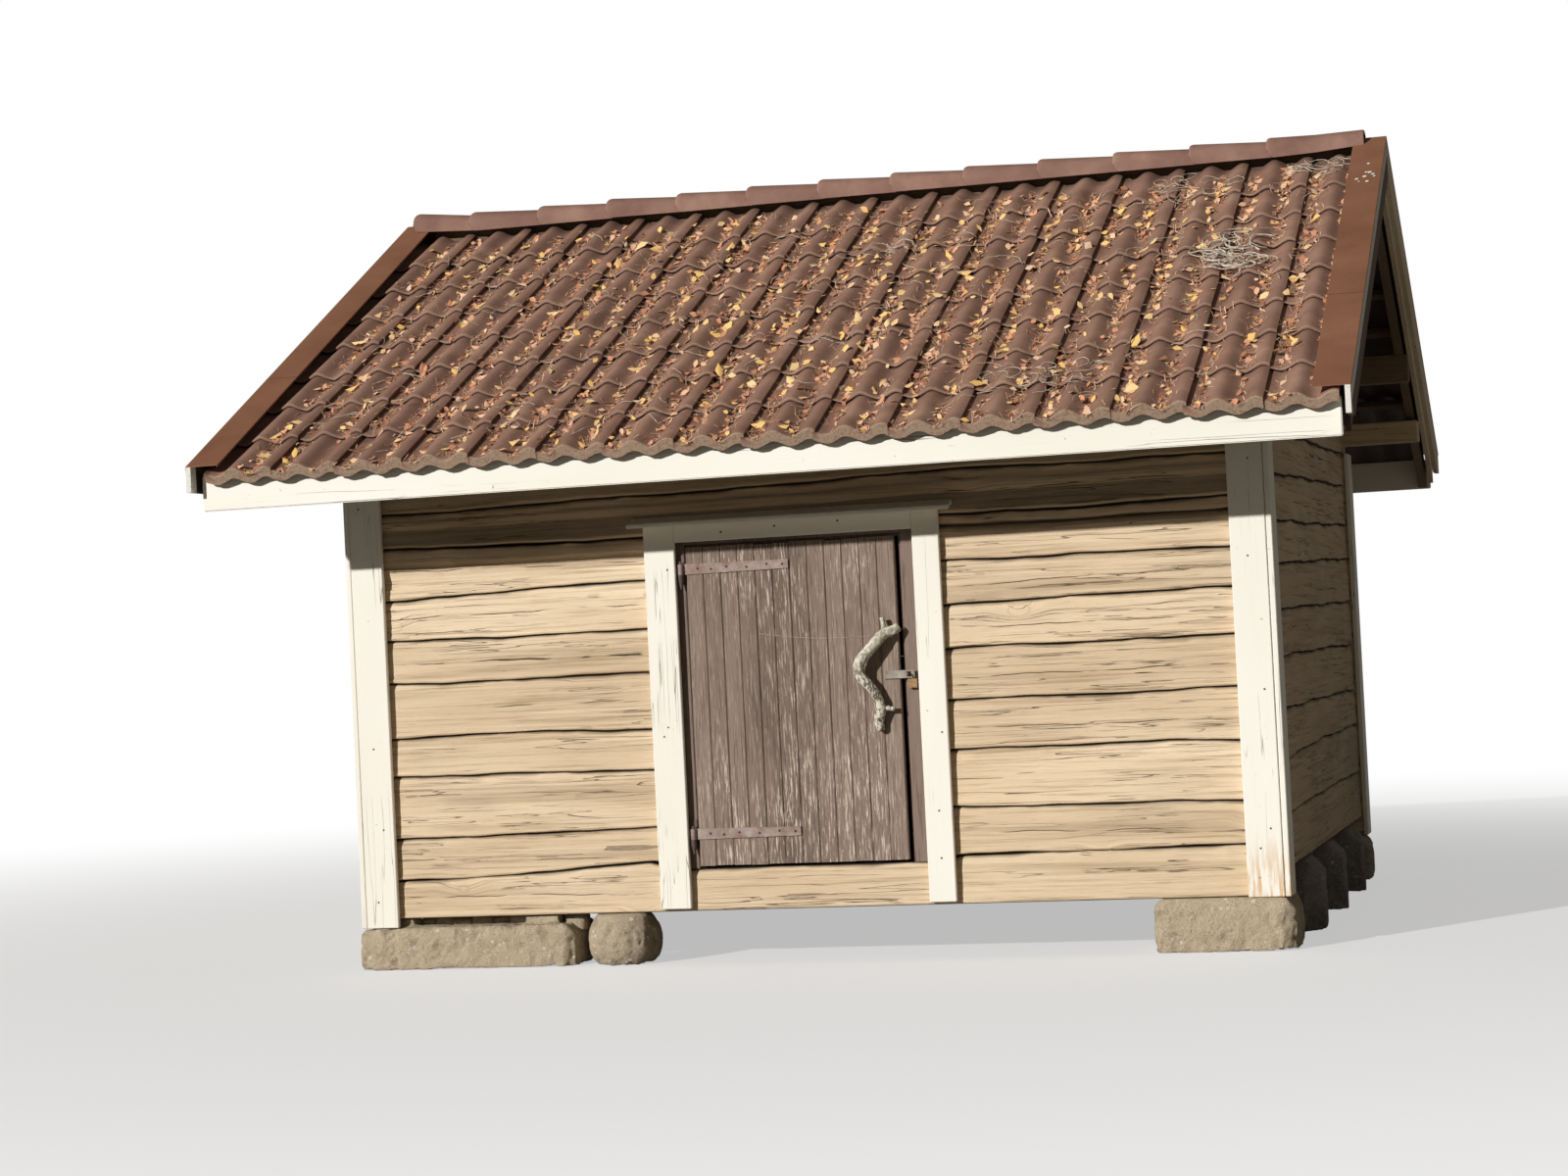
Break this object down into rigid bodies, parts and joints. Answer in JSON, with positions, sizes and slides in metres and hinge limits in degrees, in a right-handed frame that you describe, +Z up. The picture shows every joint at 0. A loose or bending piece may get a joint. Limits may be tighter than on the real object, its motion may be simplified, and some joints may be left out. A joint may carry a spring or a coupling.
{
  "type": "log storage shed",
  "caption": "Small storage shed of hewn logs on loose stones, with a rolled-tile saddle roof, boxed corners and a board door on strap hinges with a branch handle.",
  "frame": {"origin": "middle of the footprint of the whole shed, on the level that its foundation stones stand on", "axes": "+X to the right along the front, +Y from the front to the rear, +Z up"},
  "size_m": [4.93, 5.2358, 3.6557],
  "materials": {
    "hewn_log": "weathered beige paint on hewn faces",
    "white_board": "matt white paint, worn",
    "brown_board": "weathered brown paint",
    "bare_timber": "bare, greyed",
    "branch_bark": "grey bark with lichen",
    "roof_tile": "brown through-coloured concrete, matt",
    "verge_metal": "satin brown",
    "stone": "rough",
    "wrought_iron": "old brown paint and rust",
    "brass": "dull"
  },
  "bodies": {
    "root": {"corner_stones": "stone", "wall_stones": "stone", "floor_joists": "bare_timber", "floor_boards": "bare_timber", "front_sill_log": "hewn_log", "front_wall_left": "hewn_log", "front_wall_right": "hewn_log", "front_wall_over_door": "hewn_log", "rear_wall": "hewn_log", "left_wall": "hewn_log", "right_wall": "hewn_log", "corner_boards_front_left": "white_board", "corner_boards_front_right": "white_board", "corner_boards_rear_left": "white_board", "corner_boards_rear_right": "white_board", "left_jamb": "brown_board", "right_jamb": "brown_board", "head_jamb": "brown_board", "door_stops": "brown_board", "door_trim_left": "white_board", "door_trim_right": "white_board", "door_head_trim": "white_board", "drip_cap": "white_board", "hinge_pintles": "wrought_iron", "hasp_staple": "wrought_iron", "purlins": "bare_timber", "rafters_front": "bare_timber", "rafters_rear": "bare_timber", "battens": "bare_timber", "front_tiles": "roof_tile", "rear_tiles": "roof_tile", "ridge_tiles": "roof_tile", "front_fascia": "white_board", "rear_fascia": "white_board", "left_bargeboards": "bare_timber", "right_bargeboards": "bare_timber", "left_verge_flashing": "verge_metal", "right_verge_flashing": "verge_metal"},
    "door": {"door_leaf": "brown_board", "door_ledges": "brown_board", "upper_strap_hinge": "wrought_iron", "lower_strap_hinge": "wrought_iron", "branch_handle": "branch_bark", "hasp": "wrought_iron", "padlock": "brass"}
  },
  "joints": [
    {"name": "door_hinge", "type": "hinge", "parent": "root", "child": "door", "pos_m": [-0.4945, -1.884, 1.1], "axis": [0, 0, -1], "range_deg": [0, 105]}
  ]
}
